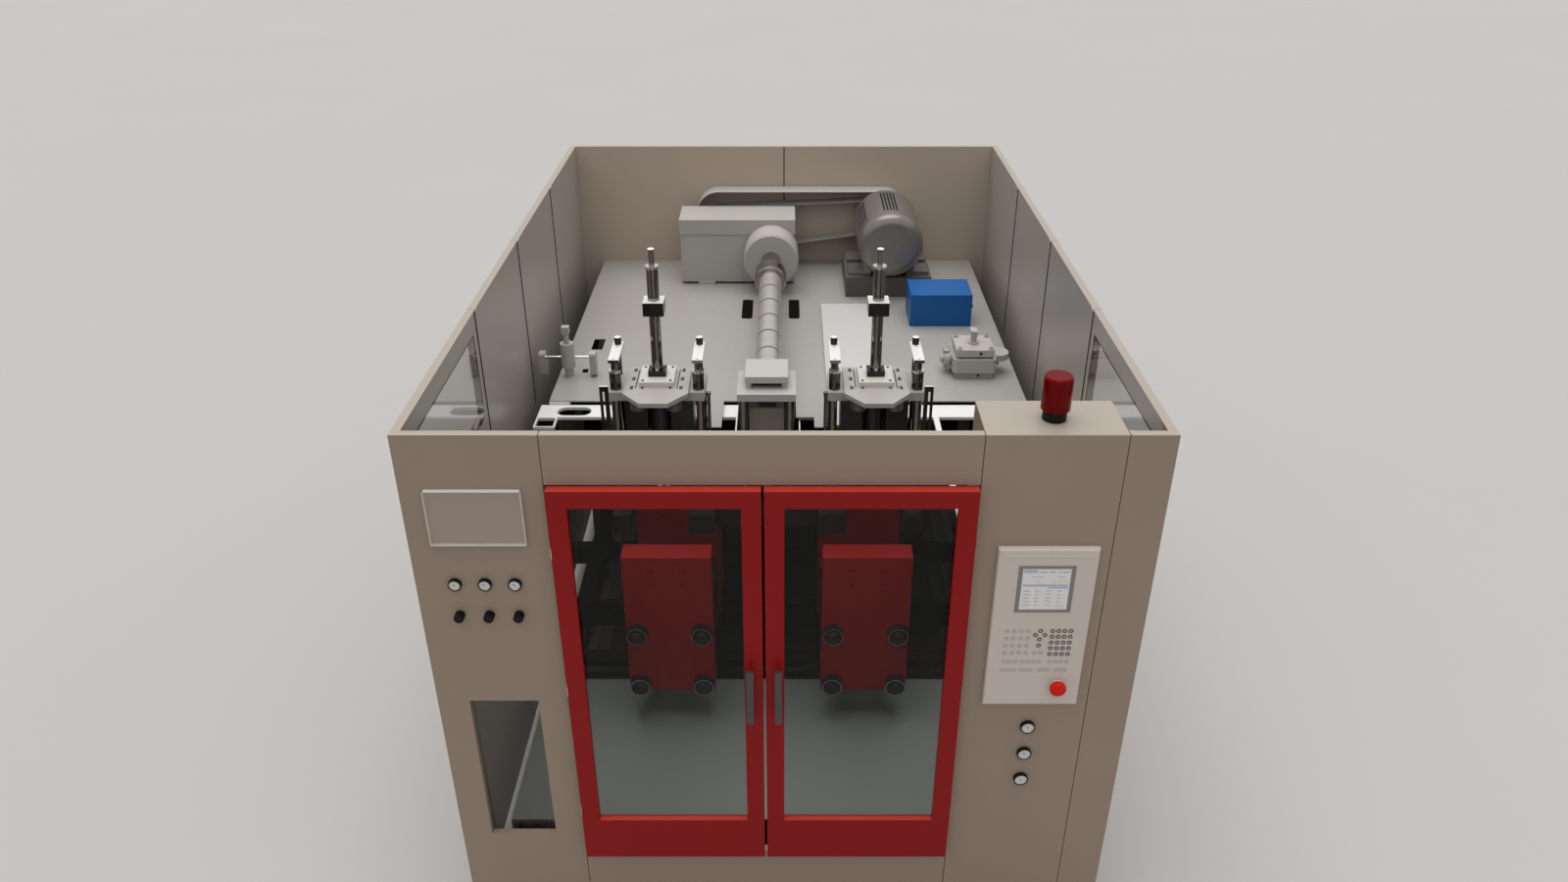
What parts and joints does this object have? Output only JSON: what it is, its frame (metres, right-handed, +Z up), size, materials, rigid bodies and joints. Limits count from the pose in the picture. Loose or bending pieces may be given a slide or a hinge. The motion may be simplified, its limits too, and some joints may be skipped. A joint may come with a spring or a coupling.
{
  "type": "extrusion blow moulding machine",
  "caption": "Enclosed double-station extrusion blow moulding machine with sliding clamps, blow pins, an extruder with belt drive, hinged front doors and an operator panel.",
  "frame": {"origin": "centre of the footprint, on the floor", "axes": "+X to the operator's right, +Y from the doors to the back, +Z up"},
  "size_m": [2.6, 3.776, 2.554],
  "materials": {
    "panel_paint": "warm grey powder coat",
    "door_paint": "gloss red paint",
    "platen_paint": "satin red paint",
    "glass": "clear pane",
    "handle_plastic": "matt black",
    "steel": "ground steel",
    "hmi_paint": "satin white",
    "screen": "gloss screen",
    "red_plastic": "gloss red",
    "gauge_case": "polished case",
    "knob_plastic": "matt black",
    "beacon_plastic": "clear red lens",
    "frame_paint": "off-white paint",
    "deck_paint": "light grey paint",
    "machine_paint": "grey paint",
    "drive_paint": "grey hammer paint",
    "cast_grey": "painted casting",
    "heater": "stainless bands",
    "black_rubber": "black rubber",
    "chrome": "hard chrome",
    "box_blue": "blue paint",
    "guard_paint": "light grey paint",
    "tank_paint": "grey paint"
  },
  "bodies": {
    "machine": {"front_panels": "panel_paint", "side_panels_left": "panel_paint", "side_panels_right": "panel_paint", "rear_panels": "panel_paint", "window_panes": "glass", "control_cabinet": "panel_paint", "door_hinges": "steel", "hmi_panel": "hmi_paint", "hmi_screen": "screen", "pressure_gauges": "gauge_case", "beacon_base": "knob_plastic", "beacon_lens": "beacon_plastic", "machine_frame": "frame_paint", "drip_tray": "tank_paint", "levelling_feet": "steel", "deck_plate": "deck_paint", "gearbox_housing": "machine_paint", "thrust_housing": "machine_paint", "extruder_barrel": "steel", "heater_bands": "heater", "drive_belts": "black_rubber", "belt_guard": "guard_paint", "drive_motor": "drive_paint", "motor_base": "machine_paint", "head_platform": "steel", "die_head": "steel", "blow_bridge_left": "steel", "blow_cylinder_left": "steel", "blow_bridge_right": "steel", "blow_cylinder_right": "steel", "clamp_rails": "steel", "junction_box": "box_blue", "transfer_valve": "cast_grey", "balance_pump": "steel", "hydraulic_unit": "tank_paint"},
    "door_left": {"door_frame_left": "door_paint", "door_glass_left": "glass", "door_handle_left": "handle_plastic"},
    "door_right": {"door_frame_right": "door_paint", "door_glass_right": "glass", "door_handle_right": "handle_plastic"},
    "knob_1": {"regulator_knob_1": "knob_plastic"},
    "knob_2": {"regulator_knob_2": "knob_plastic"},
    "knob_3": {"regulator_knob_3": "knob_plastic"},
    "stop_button": {"estop_button": "red_plastic"},
    "input_pulley": {"gearbox_pulley": "cast_grey"},
    "drive_rotor": {"motor_pulley": "cast_grey"},
    "screw": {"extruder_screw": "chrome"},
    "blow_pin_left": {"blow_rod_left": "chrome"},
    "carriage_left": {"clamp_carriage_left": "machine_paint"},
    "clamp_frame_left": {"front_platen_left": "platen_paint", "tie_bars_left": "chrome", "rear_platen_left": "machine_paint"},
    "inner_platen_left": {"moving_platen_left": "platen_paint"},
    "blow_pin_right": {"blow_rod_right": "chrome"},
    "carriage_right": {"clamp_carriage_right": "machine_paint"},
    "clamp_frame_right": {"front_platen_right": "platen_paint", "tie_bars_right": "chrome", "rear_platen_right": "machine_paint"},
    "inner_platen_right": {"moving_platen_right": "platen_paint"}
  },
  "joints": [
    {"name": "door_left_hinge", "type": "hinge", "parent": "machine", "child": "door_left", "pos_m": [-0.8035, -1.8085, 1.3], "axis": [0, 0, -1], "range_deg": [0, 95]},
    {"name": "door_right_hinge", "type": "hinge", "parent": "machine", "child": "door_right", "pos_m": [0.6595, -1.8085, 1.3], "axis": [0, 0, 1], "range_deg": [0, 95]},
    {"name": "knob_1_turn", "type": "hinge", "parent": "machine", "child": "knob_1", "pos_m": [-1.1595, -1.804, 1.619], "axis": [0, 1, 0], "range_deg": [-270, 270]},
    {"name": "knob_2_turn", "type": "hinge", "parent": "machine", "child": "knob_2", "pos_m": [-1.0535, -1.804, 1.619], "axis": [0, 1, 0], "range_deg": [-270, 270]},
    {"name": "knob_3_turn", "type": "hinge", "parent": "machine", "child": "knob_3", "pos_m": [-0.9475, -1.804, 1.619], "axis": [0, 1, 0], "range_deg": [-270, 270]},
    {"name": "stop_press", "type": "slide", "parent": "machine", "child": "stop_button", "axis": [0, 1, 0], "range_m": [0, 0.005], "stiffness_N_per_m": 2000},
    {"name": "input_spin", "type": "hinge", "parent": "machine", "child": "input_pulley", "pos_m": [-0.375, 1.789, 1.857], "axis": [0, 1, 0], "continuous": true},
    {"name": "motor_spin", "type": "hinge", "parent": "machine", "child": "drive_rotor", "pos_m": [0.613, 1.789, 1.951], "axis": [0, 1, 0], "continuous": true},
    {"name": "screw_spin", "type": "hinge", "parent": "machine", "child": "screw", "pos_m": [-0.076, 0.196, 1.835], "axis": [0, 1, 0], "continuous": true},
    {"name": "blow_pin_left_stroke", "type": "slide", "parent": "machine", "child": "blow_pin_left", "axis": [0, 0, -1], "range_m": [0, 0.06]},
    {"name": "blow_pin_right_stroke", "type": "slide", "parent": "machine", "child": "blow_pin_right", "axis": [0, 0, -1], "range_m": [0, 0.06]},
    {"name": "carriage_left_shuttle", "type": "slide", "parent": "machine", "child": "carriage_left", "axis": [1, 0, 0], "range_m": [-0.03, 0.45]},
    {"name": "carriage_right_shuttle", "type": "slide", "parent": "machine", "child": "carriage_right", "axis": [1, 0, 0], "range_m": [-0.45, 0.03]},
    {"name": "clamp_frame_left_stroke", "type": "slide", "parent": "carriage_left", "child": "clamp_frame_left", "axis": [0, 1, 0], "range_m": [0, 0.15]},
    {"name": "inner_platen_left_stroke", "type": "slide", "parent": "carriage_left", "child": "inner_platen_left", "axis": [0, 1, 0], "range_m": [-0.15, 0]},
    {"name": "clamp_frame_right_stroke", "type": "slide", "parent": "carriage_right", "child": "clamp_frame_right", "axis": [0, 1, 0], "range_m": [0, 0.15]},
    {"name": "inner_platen_right_stroke", "type": "slide", "parent": "carriage_right", "child": "inner_platen_right", "axis": [0, 1, 0], "range_m": [-0.15, 0]}
  ],
  "couplings": [
    {"joint": "motor_spin", "follows": "input_spin", "ratio": 1.4737},
    {"joint": "screw_spin", "follows": "input_spin", "ratio": -0.08},
    {"joint": "inner_platen_left_stroke", "follows": "clamp_frame_left_stroke", "ratio": -1},
    {"joint": "inner_platen_right_stroke", "follows": "clamp_frame_right_stroke", "ratio": -1}
  ]
}
